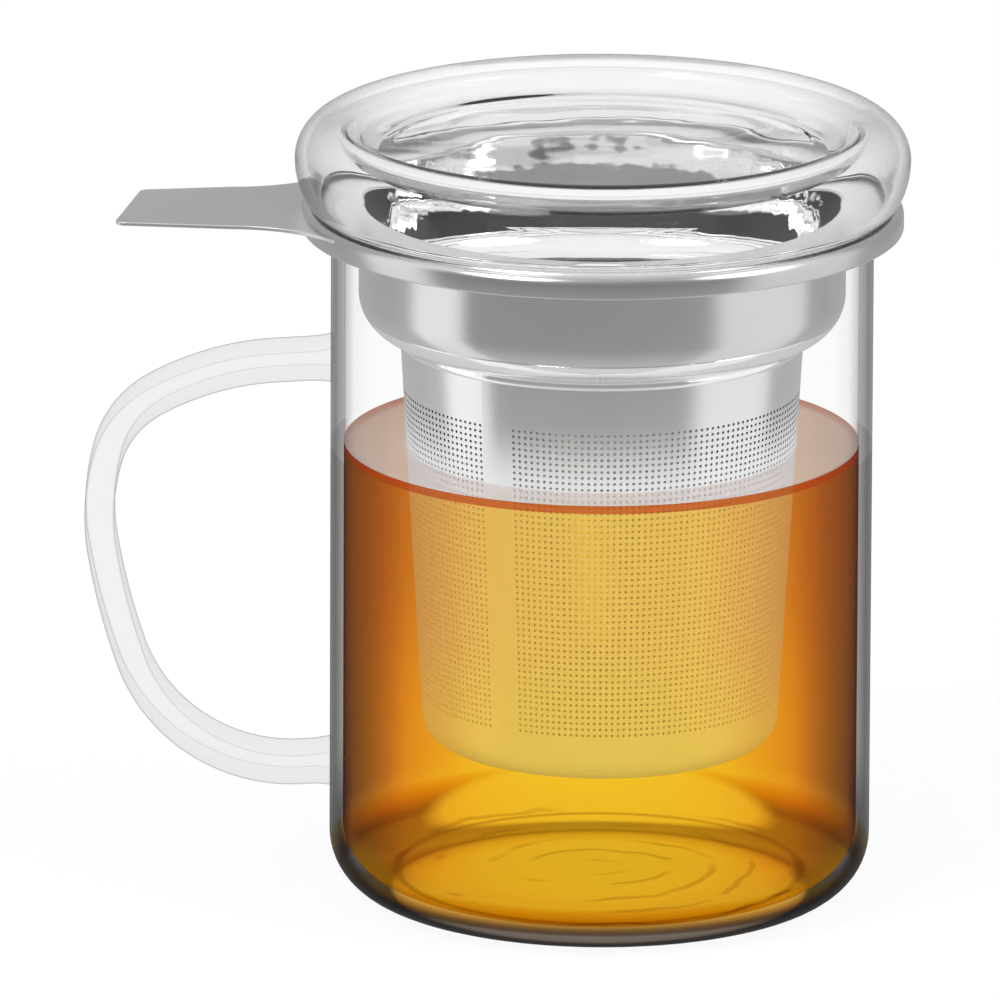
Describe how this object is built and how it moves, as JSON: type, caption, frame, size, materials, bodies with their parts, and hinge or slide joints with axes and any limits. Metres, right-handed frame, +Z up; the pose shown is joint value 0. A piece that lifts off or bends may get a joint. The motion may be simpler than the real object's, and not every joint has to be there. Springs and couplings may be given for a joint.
{
  "type": "lidded glass tea mug with infuser",
  "caption": "Straight glass tea mug with a strap handle, a lift-out perforated steel infuser that hangs from the rim, and a loose glass lid that covers it.",
  "frame": {"origin": "on the mug's axis, in the plane that the mug stands on", "axes": "+Z up along the mug's axis; the handle and the lift tab point along -X; the user's side view looks along +Y"},
  "size_m": [0.1247, 0.093, 0.1204],
  "materials": {
    "mug_glass": "gloss",
    "handle_glass": "gloss",
    "lid_glass": "gloss",
    "flange_steel": "satin",
    "tab_steel": "satin",
    "collar_steel": "satin",
    "basket_steel": "satin"
  },
  "bodies": {
    "mug": {"mug_body": "mug_glass", "mug_handle": "handle_glass"},
    "infuser": {"infuser_flange": "flange_steel", "lift_tab": "tab_steel", "infuser_collar": "collar_steel", "joint_bead": "collar_steel", "basket_wall": "basket_steel", "basket_base": "basket_steel"},
    "lid": {"lid": "lid_glass"}
  },
  "joints": [
    {"name": "infuser_lift", "type": "slide", "parent": "mug", "child": "infuser", "axis": [0, 0, 1], "range_m": [0, 0.095]},
    {"name": "lid_lift", "type": "slide", "parent": "infuser", "child": "lid", "axis": [0, 0, 1], "range_m": [0, 0.045]}
  ]
}
